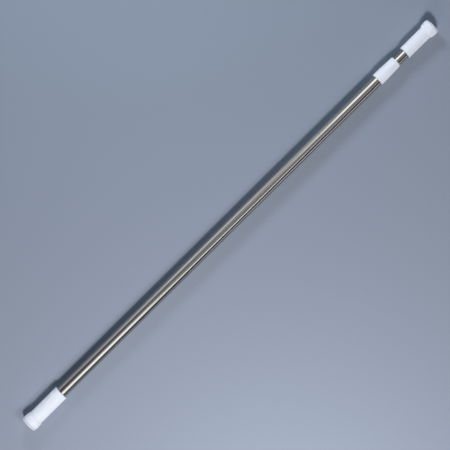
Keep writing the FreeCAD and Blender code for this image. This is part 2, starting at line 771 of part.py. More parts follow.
def build():
    make_sheet()
    outer_tube()
    inner_tube()
    foot("outer", ZERO, False)
    foot("inner", INNER_FACE_X, True)
    mouth_collar()
    cam_core()
    cam_ring()
    glide_ring()
    washer("lock_washer", LOCK_WASHER_X, size("lock_washer_thickness"), SHANK_RADIUS + size("end_play"), CORE_FLANGE)
    pan_screw("lock_screw", LOCK_SCREW_X, size("cam_length"))
    core_pin()
    plunger_rod()
    compression_spring()
    washer("spring_washer", SPRING_END_X, size("spring_washer_thickness"), ROD_RADIUS + size("end_play"), INNER_RADIUS)
    tube_bush()
    bush_pins()
    washer("stop_washer", STOP_X, size("stop_washer_thickness"), ROD_FLAT, size("stop_washer_diameter") / 2)
    stop_nut()
    document.recompute()


def check():
    """Every object is up to date and every piece is a sound solid."""
    for thing in document.Objects:
        if "Invalid" in thing.State or "Error" in thing.State:
            raise RuntimeError(f"{thing.Label} failed: {thing.State}")
    for part in parts:
        if part.Shape.isNull() or not part.Shape.isValid() or not part.Shape.Solids:
            raise RuntimeError(f"{part.Label} has no sound shape")


def export():
    os.makedirs("parts", exist_ok=True)
    for part in parts:
        part.Shape.exportStep(os.path.join("parts", f"{part.Label}.step"))
        print(f"{part.Label}: {len(part.Shape.Solids)} solid, {part.Shape.Volume:.1f} mm3")


build()
check()
export()
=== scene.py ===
"""Looks of a telescopic window security bar: tubes, white sleeves and collar, grip pads and lock parts."""
import json
import math

import bmesh
import bpy
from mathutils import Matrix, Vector

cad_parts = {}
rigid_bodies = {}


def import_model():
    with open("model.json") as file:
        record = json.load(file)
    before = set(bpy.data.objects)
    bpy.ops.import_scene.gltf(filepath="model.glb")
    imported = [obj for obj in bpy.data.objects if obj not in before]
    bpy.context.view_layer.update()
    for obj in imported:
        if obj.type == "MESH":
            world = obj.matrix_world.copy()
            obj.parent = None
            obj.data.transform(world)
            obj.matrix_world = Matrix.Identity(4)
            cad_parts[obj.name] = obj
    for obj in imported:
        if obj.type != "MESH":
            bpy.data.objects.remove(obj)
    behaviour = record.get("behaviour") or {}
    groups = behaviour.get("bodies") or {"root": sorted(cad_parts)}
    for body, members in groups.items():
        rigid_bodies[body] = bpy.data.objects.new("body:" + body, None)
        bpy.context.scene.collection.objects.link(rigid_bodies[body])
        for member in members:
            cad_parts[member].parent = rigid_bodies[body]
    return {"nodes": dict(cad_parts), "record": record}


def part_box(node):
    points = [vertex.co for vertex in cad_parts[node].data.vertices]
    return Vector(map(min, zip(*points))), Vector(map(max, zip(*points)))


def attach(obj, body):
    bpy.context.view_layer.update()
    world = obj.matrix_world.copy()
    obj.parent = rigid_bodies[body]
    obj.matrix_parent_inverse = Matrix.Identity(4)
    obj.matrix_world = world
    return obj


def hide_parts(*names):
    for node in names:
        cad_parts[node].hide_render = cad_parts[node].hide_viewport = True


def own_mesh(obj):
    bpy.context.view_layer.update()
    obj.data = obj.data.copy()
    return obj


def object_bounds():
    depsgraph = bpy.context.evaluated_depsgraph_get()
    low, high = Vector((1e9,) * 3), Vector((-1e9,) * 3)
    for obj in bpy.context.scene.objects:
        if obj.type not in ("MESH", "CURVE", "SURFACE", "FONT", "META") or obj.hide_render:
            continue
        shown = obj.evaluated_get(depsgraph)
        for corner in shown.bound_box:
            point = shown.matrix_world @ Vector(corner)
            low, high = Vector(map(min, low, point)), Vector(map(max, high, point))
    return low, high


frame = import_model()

CAD_BOUNDS = [list(corner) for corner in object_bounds()]
MM = 0.001
SHARP_ANGLE = math.radians(35)

bl_info = {
    "name": "Window security bar",
    "version": (1, 0, 0),
    "blender": (4, 5, 0),
    "location": "3D View > Sidebar > Bar",
    "description": "Builds the visible pieces of a telescopic window security bar round its packed frame",
    "category": "Object",
}


# --- settings -------------------------------------------------------------------------------------

class BarShapeSettings(bpy.types.PropertyGroup):
    """Sizes of moulded and turned detail that the frame's boxes do not give."""

    outer_wall: bpy.props.FloatProperty(
        name="Outer tube wall", description="Wall of the outer tube", default=0.8 * MM, unit="LENGTH")
    inner_wall: bpy.props.FloatProperty(
        name="Inner tube wall", description="Wall of the inner tube", default=0.7 * MM, unit="LENGTH")
    flange_barrel: bpy.props.FloatProperty(
        name="Flange barrel", description="How far a flange bulges between its two ends", default=0.16 * MM,
        unit="LENGTH")
    edge_round: bpy.props.FloatProperty(
        name="Edge rounding", description="Radius of the moulded outer edges",
        default=0.7 * MM, unit="LENGTH")
    parting_depth: bpy.props.FloatProperty(
        name="Parting line depth", description="Depth of the mould's parting line",
        default=0.45 * MM, unit="LENGTH")
    parting_width: bpy.props.FloatProperty(
        name="Parting line width", description="Width of the mould's parting line",
        default=1.6 * MM, unit="LENGTH")
    pad_groove_depth: bpy.props.FloatProperty(
        name="Pad groove depth", description="Depth of the ring grooves in a foot pad", default=0.6 * MM,
        unit="LENGTH")
    pad_line_width: bpy.props.FloatProperty(
        name="Pad gap width", description="Width of the gap line between a pad and its flange",
        default=1.3 * MM, unit="LENGTH")
    pad_line_depth: bpy.props.FloatProperty(
        name="Pad gap depth", description="Depth of the gap line between a pad and its flange",
        default=2.4 * MM, unit="LENGTH")
    pad_nicks: bpy.props.IntProperty(
        name="Pad nicks", description="Small nicks round the rim of a foot pad", default=32)
    spring_wire: bpy.props.FloatProperty(
        name="Spring wire", description="Diameter of the spring's wire", default=1.6 * MM, unit="LENGTH")
    spring_turns: bpy.props.FloatProperty(
        name="Spring turns", description="Turns of the spring, its two closed ends included", default=9.0)
    spring_keep: bpy.props.FloatProperty(
        name="Spring pressed", description="Share of the spring's length when fully pressed", default=0.6)
    segments: bpy.props.IntProperty(
        name="Segments", description="Facets round a turned piece", default=128)


class BarFinishSettings(bpy.types.PropertyGroup):
    """Colours and finishes."""

    steel: bpy.props.FloatVectorProperty(
        name="Tube steel", description="Reflection colour of the polished tubes", subtype="COLOR",
        default=(0.425, 0.41, 0.39))
    plastic: bpy.props.FloatVectorProperty(
        name="White plastic", description="Colour of the sleeves and the collar", subtype="COLOR",
        default=(0.605, 0.63, 0.695))
    pad: bpy.props.FloatVectorProperty(
        name="Pad rubber", description="Colour of the foot pads", subtype="COLOR", default=(0.62, 0.64, 0.70))
    tube_roughness: bpy.props.FloatProperty(
        name="Tube roughness", description="Roughness of the polished tubes", default=0.10, subtype="FACTOR")


class BarStageSettings(bpy.types.PropertyGroup):
    """Floor, light and camera."""

    floor: bpy.props.FloatVectorProperty(
        name="Floor", description="Colour of the floor", subtype="COLOR", default=(0.278, 0.314, 0.39))
    camera_height: bpy.props.FloatProperty(
        name="Camera height", description="Height of the lens above the bar's axis",
        default=3.105, unit="LENGTH")
    camera_offset: bpy.props.FloatVectorProperty(
        name="Camera offset", description="Where the lens looks, from the middle of the bar", size=2,
        default=(-0.0067, 0.0074), subtype="TRANSLATION")
    camera_turn: bpy.props.FloatProperty(
        name="Camera turn", description="How far the camera is turned from the bar",
        default=math.radians(-44.677), subtype="ANGLE")
    camera_lens: bpy.props.FloatProperty(
        name="Lens", description="Focal length in millimetres on a 36 mm sensor", default=136.0)


SETTINGS = {
    "bar_shape": BarShapeSettings,
    "bar_finish": BarFinishSettings,
    "bar_stage": BarStageSettings,
}


# --- mesh tools -----------------------------------------------------------------------------------

def rounded(points, steps=6):
    """A closed outline with its marked corners turned into arcs.

    Points are (x, radius), or (x, radius, rounding) for a corner that is rounded.
    """
    out = []
    count = len(points)
    for i, point in enumerate(points):
        here = Vector(point[:2])
        if len(point) < 3:
            out.append(here)
            continue
        before = (Vector(points[i - 1][:2]) - here).normalized()
        after = (Vector(points[(i + 1) % count][:2]) - here).normalized()
        half = before.angle(after) / 2
        reach = point[2] / math.tan(half)
        centre = here + (before + after).normalized() * (point[2] / math.sin(half))
        first = here + before * reach - centre
        last = here + after * reach - centre
        turn = first.angle_signed(last)
        for step in range(steps + 1):
            angle = -turn * step / steps
            out.append(centre + Vector((
                first.x * math.cos(angle) - first.y * math.sin(angle),
                first.x * math.sin(angle) + first.y * math.cos(angle))))
    return out


def turned_mesh(name, outline, angles, relief=None):
    """A mesh spun round the bar's axis from a closed outline of (x, radius) points in metres."""
    bm = bmesh.new()
    rings = []
    for spot in outline:
        if spot.y < 1e-7:
            rings.append([bm.verts.new((spot.x, 0, 0))])
            continue
        ring = []
        for angle in angles:
            radius = spot.y + (relief(spot.x, spot.y, angle) if relief else 0)
            ring.append(bm.verts.new((spot.x, radius * math.sin(angle), radius * math.cos(angle))))
        rings.append(ring)
    for i, ring in enumerate(rings):
        join_rings(bm, ring, rings[(i + 1) % len(rings)])
    bmesh.ops.recalc_face_normals(bm, faces=bm.faces)
    mesh = bpy.data.meshes.new(name)
    bm.to_mesh(mesh)
    bm.free()
    return mesh


def join_rings(bm, ring, on):
    """Faces between two rings; a ring of one vertex is a point on the axis."""
    if len(ring) == 1 and len(on) == 1:
        return
    count = max(len(ring), len(on))
    for k in range(count):
        m = (k + 1) % count
        if len(ring) == 1:
            bm.faces.new((ring[0], on[m], on[k]))
        elif len(on) == 1:
            bm.faces.new((ring[k], ring[m], on[0]))
        else:
            bm.faces.new((ring[k], ring[m], on[m], on[k]))


def even_angles(count, extra=()):
    """Angles round the bar, with a few closer ones at each extra angle."""
    angles = {round(2 * math.pi * k / count, 7) for k in range(count)}
    for centre, spread in extra:
        for step in (-2, -1, -0.5, 0, 0.5, 1, 2):
            angles.add(round((centre + spread * step) % (2 * math.pi), 7))
    return sorted(angles)


def add_piece(name, mesh, material, body, slot, *replaced):
    """Links a finished mesh as a piece that rides on a body and stands for CAD nodes."""
    obj = bpy.data.objects.new(name, mesh)
    bpy.context.scene.collection.objects.link(obj)
    mesh.materials.append(material)
    mesh.shade_smooth()
    mesh.set_sharp_from_angle(angle=SHARP_ANGLE)
    weigh = obj.modifiers.new("Weighted normals", "WEIGHTED_NORMAL")
    weigh.keep_sharp = True
    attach(obj, body)
    if replaced:
        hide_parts(*replaced)
    return obj


# --- shader groups --------------------------------------------------------------------------------

class Graph:
    """A short way to add nodes and links to a node tree."""

    def __init__(self, tree):
        self.tree = tree

    def add(self, kind, values=None, **settings):
        node = self.tree.nodes.new(kind)
        for key, value in settings.items():
            setattr(node, key, value)
        for key, value in (values or {}).items():
            self.feed(node.inputs[key], value)
        return node

    def feed(self, socket, value):
        if isinstance(value, bpy.types.NodeSocket):
            self.tree.links.new(value, socket)
        else:
            socket.default_value = value

    def math(self, operation, a, b=0.0, clamp=False):
        node = self.add("ShaderNodeMath", {0: a, 1: b}, operation=operation, use_clamp=clamp)
        return node.outputs[0]

    def noise(self, vector, scale, detail=4.0, roughness=0.55):
        node = self.add("ShaderNodeTexNoise", {"Vector": vector, "Scale": scale, "Detail": detail,
                                               "Roughness": roughness})
        return node.outputs["Fac"]

    def stretched(self, vector, scale):
        return self.add("ShaderNodeMapping", {"Vector": vector, "Scale": scale}).outputs["Vector"]

    def span(self, value, low, high, to_low=0.0, to_high=1.0):
        node = self.add("ShaderNodeMapRange", {"Value": value, "From Min": low, "From Max": high,
                                               "To Min": to_low, "To Max": to_high})
        return node.outputs["Result"]

    def mix(self, factor, a, b):
        node = self.add("ShaderNodeMix", data_type="RGBA")
        self.feed(node.inputs["Factor"], factor)
        self.feed(node.inputs["A"], a)
        self.feed(node.inputs["B"], b)
        return node.outputs["Result"]


def node_group(name, inputs, outputs):
    """A new shader group with its sockets, and the graph inside it."""
    group = bpy.data.node_groups.new(name, "ShaderNodeTree")
    for label, kind, default in inputs:
        socket = group.interface.new_socket(label, in_out="INPUT", socket_type=kind)
        if default is not None:
            socket.default_value = default
    for label, kind in outputs:
        group.interface.new_socket(label, in_out="OUTPUT", socket_type=kind)
    graph = Graph(group)
    return group, graph, graph.add("NodeGroupInput").outputs, graph.add("NodeGroupOutput").inputs


def fine_rings_group():
    """Fine polishing lines that run round the tube, as a height and a mask."""
    group, g, given, out = node_group(
        "Fine rings",
        [("Position", "NodeSocketVector", None), ("Lines per metre", "NodeSocketFloat", 2600.0)],
        [("Height", "NodeSocketFloat"), ("Mask", "NodeSocketFloat")])
    parts = g.add("ShaderNodeSeparateXYZ", {"Vector": given["Position"]})
    along = g.math("MULTIPLY", parts.outputs["X"], given["Lines per metre"])
    flat = g.add("ShaderNodeCombineXYZ", {
        "X": along,
        "Y": g.math("MULTIPLY", parts.outputs["Y"], 45.0),
        "Z": g.math("MULTIPLY", parts.outputs["Z"], 45.0)})
    fine = g.noise(flat.outputs["Vector"], 1.0, 3.0, 0.7)
    coarse = g.noise(flat.outputs["Vector"], 0.23, 2.0, 0.6)
    g.feed(out["Height"], g.math("ADD", g.math("MULTIPLY", fine, 0.6), g.math("MULTIPLY", coarse, 0.4)))
    g.feed(out["Mask"], g.span(coarse, 0.42, 0.68))
    return group


def smudge_group():
    """Soft cloudy marks left by handling."""
    group, g, given, out = node_group(
        "Smudges",
        [("Position", "NodeSocketVector", None), ("Size", "NodeSocketFloat", 40.0)],
        [("Mask", "NodeSocketFloat"), ("Specks", "NodeSocketFloat")])
    cloud = g.noise(given["Position"], given["Size"], 5.0, 0.6)
    specks = g.noise(given["Position"], g.math("MULTIPLY", given["Size"], 22.0), 2.0, 0.5)
    g.feed(out["Mask"], g.span(cloud, 0.45, 0.72))
    g.feed(out["Specks"], g.span(specks, 0.66, 0.74))
    return group


def scratch_group():
    """Sparse hairline scratches, mostly lengthwise, from sliding and handling."""
    group, g, given, out = node_group(
        "Scratches",
        [("Position", "NodeSocketVector", None), ("Density", "NodeSocketFloat", 0.5)],
        [("Mask", "NodeSocketFloat")])
    long_way = g.stretched(given["Position"], (9.0, 900.0, 900.0))
    lines = g.noise(long_way, 1.0, 2.0, 0.4)
    patches = g.noise(given["Position"], 30.0, 2.0, 0.5)
    thin = g.span(g.math("ABSOLUTE", g.math("SUBTRACT", lines, 0.5)), 0.0, 0.012, 1.0, 0.0)
    where = g.span(patches, g.math("SUBTRACT", 0.9, g.math("MULTIPLY", given["Density"], 0.5)), 0.9)
    g.feed(out["Mask"], g.math("MULTIPLY", thin, where, clamp=True))
    return group


def moulded_skin_group():
    """The slight orange-peel and flow marks of moulded plastic."""
    group, g, given, out = node_group(
        "Moulded skin",
        [("Position", "NodeSocketVector", None), ("Grain", "NodeSocketFloat", 2400.0)],
        [("Height", "NodeSocketFloat"), ("Flow", "NodeSocketFloat")])
    grain = g.noise(given["Position"], given["Grain"], 3.0, 0.6)
    peel = g.noise(given["Position"], 260.0, 2.0, 0.5)
    flow = g.noise(g.stretched(given["Position"], (14.0, 60.0, 60.0)), 1.0, 3.0, 0.5)
    g.feed(out["Height"], g.math("ADD", g.math("MULTIPLY", grain, 0.45), g.math("MULTIPLY", peel, 0.55)))
    g.feed(out["Flow"], g.span(flow, 0.35, 0.65))
    return group


GROUP_MAKERS = {
    "Fine rings": fine_rings_group,
    "Smudges": smudge_group,
    "Scratches": scratch_group,
    "Moulded skin": moulded_skin_group,
}


def effect(graph, name, values):
    """Places a shader group in a material, building it the first time."""
    group = bpy.data.node_groups.get(name) or GROUP_MAKERS[name]()
    return graph.add("ShaderNodeGroup", values, node_tree=group).outputs


# --- materials ------------------------------------------------------------------------------------

def new_material(name):
    """A new material, its graph, its Principled shader's inputs and the piece's own position."""
    material = bpy.data.materials.new(name)
    material.use_nodes = True
    graph = Graph(material.node_tree)
    shader = material.node_tree.nodes["Principled BSDF"]
    position = graph.add("ShaderNodeTexCoord").outputs["Object"]
    return material, graph, shader.inputs, position


def rgba(colour, gain=1.0):
    """A colour made brighter or darker, with its alpha."""
    return (colour[0] * gain, colour[1] * gain, colour[2] * gain, 1.0)


def bump(graph, height, strength, distance):
    """The normal of a surface with that height on it."""
    node = graph.add("ShaderNodeBump", {"Height": height, "Strength": strength, "Distance": distance})
    return node.outputs["Normal"]


def tube_material():
    """Polished stainless: fine lines round the tube, hairlines and handling marks."""
    finish = bpy.context.scene.bar_finish
    material, g, shader, position = new_material("Polished tube")
    rings = effect(g, "Fine rings", {"Position": position})
    marks = effect(g, "Smudges", {"Position": position, "Size": 26.0})
    hairs = effect(g, "Scratches", {"Position": position, "Density": 0.45})
    steel = g.mix(g.math("MULTIPLY", rings["Mask"], 0.35), rgba(finish.steel), rgba(finish.steel, 0.86))
    steel = g.mix(g.math("MULTIPLY", marks["Mask"], 0.10), steel, rgba(finish.steel, 0.8))
    g.feed(shader["Base Color"], steel)
    shader["Metallic"].default_value = 1.0
    rough = g.math("ADD", finish.tube_roughness, g.math("MULTIPLY", marks["Mask"], 0.04))
    rough = g.math("ADD", rough, g.math("MULTIPLY", hairs["Mask"], 0.12))
    g.feed(shader["Roughness"], rough)
    relief = g.math("SUBTRACT", rings["Height"], g.math("MULTIPLY", hairs["Mask"], 0.4))
    g.feed(shader["Normal"], bump(g, relief, 0.12, 0.00003))
    return material


def plastic_material():
    """Satin white moulded plastic with a faint grain, flow marks and a little grime from handling."""
    finish = bpy.context.scene.bar_finish
    material, g, shader, position = new_material("White plastic")
    skin = effect(g, "Moulded skin", {"Position": position})
    marks = effect(g, "Smudges", {"Position": position, "Size": 55.0})
    colour = g.mix(g.math("MULTIPLY", skin["Flow"], 0.35), rgba(finish.plastic), rgba(finish.plastic, 0.975))
    colour = g.mix(g.math("MULTIPLY", marks["Mask"], 0.30), colour, rgba(finish.plastic, 0.93))
    colour = g.mix(g.math("MULTIPLY", marks["Specks"], 0.16), colour, (0.45, 0.44, 0.43, 1.0))
    g.feed(shader["Base Color"], colour)
    g.feed(shader["Roughness"], g.math("ADD", 0.34, g.math("MULTIPLY", marks["Mask"], 0.12)))
    shader["Subsurface Weight"].default_value = 0.35
    shader["Subsurface Radius"].default_value = (0.0022, 0.0021, 0.0020)
    shader["Subsurface Scale"].default_value = 1.0
    shader["IOR"].default_value = 1.49
    g.feed(shader["Normal"], bump(g, skin["Height"], 0.18, 0.00004))
    return material


def pad_material():
    """White elastomer: matt, slightly translucent, with scuffs on the contact face."""
    finish = bpy.context.scene.bar_finish
    material, g, shader, position = new_material("Pad rubber")
    skin = effect(g, "Moulded skin", {"Position": position, "Grain": 3600.0})
    marks = effect(g, "Smudges", {"Position": position, "Size": 120.0})
    colour = g.mix(g.math("MULTIPLY", marks["Mask"], 0.22), rgba(finish.pad), rgba(finish.pad, 0.88))
    colour = g.mix(g.math("MULTIPLY", marks["Specks"], 0.25), colour, (0.38, 0.36, 0.34, 1.0))
    g.feed(shader["Base Color"], colour)
    g.feed(shader["Roughness"], g.math("ADD", 0.5, g.math("MULTIPLY", marks["Mask"], 0.2)))
    shader["Subsurface Weight"].default_value = 0.1
    shader["Subsurface Radius"].default_value = (0.0010, 0.0010, 0.0009)
    shader["Subsurface Scale"].default_value = 1.0
    g.feed(shader["Normal"], bump(g, skin["Height"], 0.3, 0.00005))
    return material


def dull_metal_material(name, colour, roughness):
    """Zinc plate or drawn wire: cloudy colour and drawn lines."""
    material, g, shader, position = new_material(name)
    marks = effect(g, "Smudges", {"Position": position, "Size": 180.0})
    rings = effect(g, "Fine rings", {"Position": position, "Lines per metre": 5200.0})
    shade = g.mix(marks["Mask"], rgba(colour), rgba(colour, 0.78))
    g.feed(shader["Base Color"], g.mix(g.math("MULTIPLY", marks["Specks"], 0.4), shade, rgba(colour, 0.45)))
    shader["Metallic"].default_value = 1.0
    g.feed(shader["Roughness"], g.math("ADD", roughness, g.math("MULTIPLY", marks["Mask"], 0.15)))
    g.feed(shader["Normal"], bump(g, rings["Height"], 0.3, 0.00004))
    return material


def engineering_plastic_material(name, colour, roughness):
    """Nylon and plug plastics: dull moulded skin with tool marks and rubbed patches."""
    material, g, shader, position = new_material(name)
    skin = effect(g, "Moulded skin", {"Position": position, "Grain": 3000.0})
    marks = effect(g, "Smudges", {"Position": position, "Size": 150.0})
    hairs = effect(g, "Scratches", {"Position": position, "Density": 0.7})
    shade = g.mix(g.math("MULTIPLY", skin["Flow"], 0.5), rgba(colour), rgba(colour, 0.86))
    g.feed(shader["Base Color"], g.mix(g.math("MULTIPLY", hairs["Mask"], 0.3), shade, rgba(colour, 1.25)))
    g.feed(shader["Roughness"], g.math("ADD", roughness, g.math("MULTIPLY", marks["Mask"], 0.15)))
    g.feed(shader["Normal"], bump(g, skin["Height"], 0.35, 0.00006))
    return material


def material_of(name):
    """The finish of that name, built the first time it is asked for."""
    makers = {
        "Polished tube": tube_material,
        "White plastic": plastic_material,
        "Pad rubber": pad_material,
        "Zinc steel": lambda: dull_metal_material("Zinc steel", (0.60, 0.62, 0.63), 0.32),
        "Spring steel": lambda: dull_metal_material("Spring steel", (0.30, 0.29, 0.28), 0.30),
        "Grey plug": lambda: engineering_plastic_material("Grey plug", (0.36, 0.38, 0.40), 0.5),
        "Black nylon": lambda: engineering_plastic_material("Black nylon", (0.028, 0.028, 0.03), 0.42),
        "Natural nylon": lambda: engineering_plastic_material("Natural nylon", (0.72, 0.68, 0.58), 0.4),
    }
    return bpy.data.materials.get(name) or makers[name]()


SLOT_FINISH = {
    "polished_tube": "Polished tube",
    "white_plastic": "White plastic",
    "white_rubber": "Pad rubber",
    "grey_plug": "Grey plug",
    "black_nylon": "Black nylon",
    "natural_nylon": "Natural nylon",
    "zinc_steel": "Zinc steel",
    "spring_steel": "Spring steel",
}


# --- pieces ---------------------------------------------------------------------------------------

class BarOperator:
    """Shared by the operators: a registered, undoable step."""

    bl_options = {"REGISTER", "UNDO"}


# Rounding of a tube's end, as a share of its wall.
TUBE_END_SOFT = 0.35
# Room round a tube where another piece sits on it.
TUBE_CLEARANCE = 0.05 * MM


def tube_piece(node, wall, body):
    """A tube with softened ends."""
    shape = bpy.context.scene.bar_shape
    low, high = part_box(node)
    radius = high.z
    bore = radius - wall
    soft = wall * TUBE_END_SOFT
    outline = rounded([
        (low.x, bore, soft), (high.x, bore, soft), (high.x, radius, soft), (low.x, radius, soft)], 3)
    mesh = turned_mesh(node + "_skin", outline, even_angles(shape.segments))
    return add_piece(node + "_skin", mesh, material_of("Polished tube"), body, "polished_tube", node)


class BAR_OT_tubes(BarOperator, bpy.types.Operator):
    """Make the two polished tubes"""

    bl_idname = "bar.tubes"
    bl_label = "Tubes"

    def execute(self, context):
        shape = context.scene.bar_shape
        tube_piece("outer_tube", shape.outer_wall, "outer_section")
        tube_piece("inner_tube", shape.inner_wall, "inner_section")
        return {"FINISHED"}


# Length of the flange, length and corner rounding of the step behind it, and radii of the neck and of the
# sleeve, in millimetres, and where the mould's parting line runs, in degrees from the top.
SLEEVE_DETAIL = {
    "outer": {"flange": 14.6, "step": 0.8, "soft": 0.35, "neck": 15.15, "sleeve": 13.95, "parting": 44},
    "inner": {"flange": 16.6, "step": 5.2, "soft": 2.2, "neck": 14.7, "sleeve": 12.2, "parting": 97},
}
# The flange's rim round the pad, the depth of the recess that holds the pad, and the wall behind the recess.
SLEEVE_RIM = 2.6 * MM
PAD_RECESS = 2.2 * MM
SLEEVE_END_WALL = 3.0 * MM
# How much the sleeve narrows to its far end, and the flange's last curve to its mouth.
SLEEVE_DRAFT = 0.04 * MM
FLANGE_DRAFT = 0.12 * MM
# The screw's hole through the end wall, as a share of the width of the screw's head.
SCREW_HOLE = 0.3
BARREL_STEPS = 7


def run(side, low, high):
    """Turns a distance in metres from the foot end of a box into a place along the bar."""
    if side == "outer":
        return lambda distance: low.x + distance
    return lambda distance: high.x - distance


def sleeve_piece(side):
    """A moulded end sleeve: barrelled flange, soft step, drafted sleeve, rounded lips and parting line."""
    shape = bpy.context.scene.bar_shape
    node = f"{side}_end_sleeve"
    low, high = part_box(node)
    at = run(side, low, high)
    detail = SLEEVE_DETAIL[side]
    mouth = high.z
    length = high.x - low.x
    flange_end = detail["flange"] * MM
    neck_end = flange_end - detail["step"] * MM
    neck = detail["neck"] * MM
    sleeve = detail["sleeve"] * MM
    soft = detail["soft"] * MM
    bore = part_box(f"{side}_tube")[1].z + TUBE_CLEARANCE
    screw_low, screw_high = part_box(f"{side}_foot_screw")
    screw_hole = (screw_high.z - screw_low.z) * SCREW_HOLE
    seat = PAD_RECESS + SLEEVE_END_WALL
    outline = rounded([
        (at(0), mouth - SLEEVE_RIM, 0.3 * MM),
        (at(PAD_RECESS), mouth - SLEEVE_RIM),
        (at(PAD_RECESS), screw_hole),
        (at(seat), screw_hole),
        (at(seat), bore),
        (at(length), bore, 0.25 * MM),
        (at(length), sleeve - SLEEVE_DRAFT, 0.6 * MM),
        (at(flange_end), sleeve, soft),
        (at(neck_end), neck, soft),
        *barrel(at, mouth, neck, neck_end, shape.flange_barrel),
        (at(0), mouth - FLANGE_DRAFT, shape.edge_round),
    ])
    parting = math.radians(detail["parting"])
    spread = shape.parting_width / sleeve / 2

    def parting_line(x, radius, angle):
        if radius < bore + MM or abs(x - at(0)) < neck_end:
            return 0
        away = abs((angle - parting + math.pi / 2) % math.pi - math.pi / 2)
        return -shape.parting_depth * max(0.0, 1.0 - (away / spread) ** 2)

    angles = even_angles(shape.segments, [(parting, spread / 2), (parting + math.pi, spread / 2)])
    mesh = turned_mesh(node + "_moulding", outline, angles, parting_line)
    return add_piece(node + "_moulding", mesh, material_of("White plastic"), f"{side}_section",
                     "white_plastic", node)


def barrel(at, mouth, neck, length, bulge):
    """Points between a flange's neck and its mouth, from the neck outwards, on a shallow curve."""
    points = []
    for step in range(1, BARREL_STEPS):
        share = 1 - step / BARREL_STEPS
        straight = mouth + (neck - mouth) * share
        points.append((at(length * share), straight + bulge * 4 * share * (1 - share)))
    return points


class BAR_OT_end_sleeves(BarOperator, bpy.types.Operator):
    """Make the moulded end sleeves"""

    bl_idname = "bar.end_sleeves"
    bl_label = "End sleeves"

    def execute(self, context):
        for side in SLEEVE_DETAIL:
            sleeve_piece(side)
        return {"FINISHED"}


# Ring grooves in a pad's face: how many, and each one's width, how far its walls lean in and their rounding.
PAD_GROOVES = 4
GROOVE_WIDTH = 1.0 * MM
GROOVE_LEAN = 0.1 * MM
GROOVE_SOFT = 0.15 * MM
# Nicks in a pad's rim: their depth, how narrow they are and how far they run from the face.
NICK_DEPTH = 0.12 * MM
NICK_SHARPNESS = 8
NICK_REACH = 4 * MM
# Room round the screw's head in a pad's hollow.
HEAD_CLEARANCE = 0.3 * MM


def pad_piece(side):
    """A foot pad: domed edge, a gap line against the flange, ring grooves and nicks on its face."""
    shape = bpy.context.scene.bar_shape
    node = f"{side}_foot_pad"
    low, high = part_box(node)
    at = run(side, low, high)
    radius = high.z
    thickness = high.x - low.x - PAD_RECESS
    sleeve_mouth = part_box(f"{side}_end_sleeve")[1].z
    spigot = sleeve_mouth - SLEEVE_RIM - TUBE_CLEARANCE
    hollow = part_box(f"{side}_foot_screw")[1].z + HEAD_CLEARANCE
    line = shape.pad_line_width
    outline = rounded(pad_face(at, hollow, radius, shape.pad_groove_depth) + [
        (at(0), radius, thickness * 0.5),
        (at(thickness - line), radius, 0.4 * MM),
        (at(thickness - line), radius - shape.pad_line_depth, 0.1 * MM),
        (at(thickness), radius - shape.pad_line_depth),
        (at(thickness), spigot),
        (at(thickness + PAD_RECESS), spigot, 0.3 * MM),
        (at(thickness + PAD_RECESS), hollow),
        (at(thickness), hollow),
        (at(thickness), 0),
    ], 5)
    mesh = turned_mesh(node + "_rubber", outline, even_angles(shape.segments), rim_nicks(at, radius))
    return add_piece(node + "_rubber", mesh, material_of("Pad rubber"), f"{side}_section",
                     "white_rubber", node)


def pad_face(at, hollow, radius, depth):
    """The ring grooves of a pad's contact face, from its centre outwards."""
    pitch = (radius - hollow) / (PAD_GROOVES + 1)
    face = [(at(0), 0)]
    for groove in range(PAD_GROOVES):
        inner = hollow + pitch * groove
        outer = inner + GROOVE_WIDTH
        face += [
            (at(0), inner, GROOVE_SOFT),
            (at(depth), inner + GROOVE_LEAN, GROOVE_SOFT),
            (at(depth), outer - GROOVE_LEAN, GROOVE_SOFT),
            (at(0), outer, GROOVE_SOFT),
        ]
    return face


def rim_nicks(at, radius):
    """Small radial nicks round the rim of the pad."""
    count = bpy.context.scene.bar_shape.pad_nicks
    rim = radius - 0.05 * MM

    def nick(x, here, angle):
        if here < rim or abs(x - at(0)) > NICK_REACH:
            return 0
        return -NICK_DEPTH * max(0.0, math.cos(count * angle)) ** NICK_SHARPNESS

    return nick


class BAR_OT_foot_pads(BarOperator, bpy.types.Operator):
    """Make the non-slip foot pads"""

    bl_idname = "bar.foot_pads"
    bl_label = "Foot pads"

    def execute(self, context):
        for side in SLEEVE_DETAIL:
            pad_piece(side)
        return {"FINISHED"}


# The collar's straight stretch, the nose beyond its taper, the nose's wall where it starts, and the roundings
# between them.
COLLAR_STRAIGHT = 14 * MM
COLLAR_NOSE = 3 * MM
COLLAR_NOSE_WALL = 1.4 * MM
COLLAR_NOSE_ROUND = 4.0 * MM
COLLAR_TAPER_ROUND = 30 * MM
# Room round the inner tube where it slides through the collar.
SLIDE_CLEARANCE = 0.08 * MM


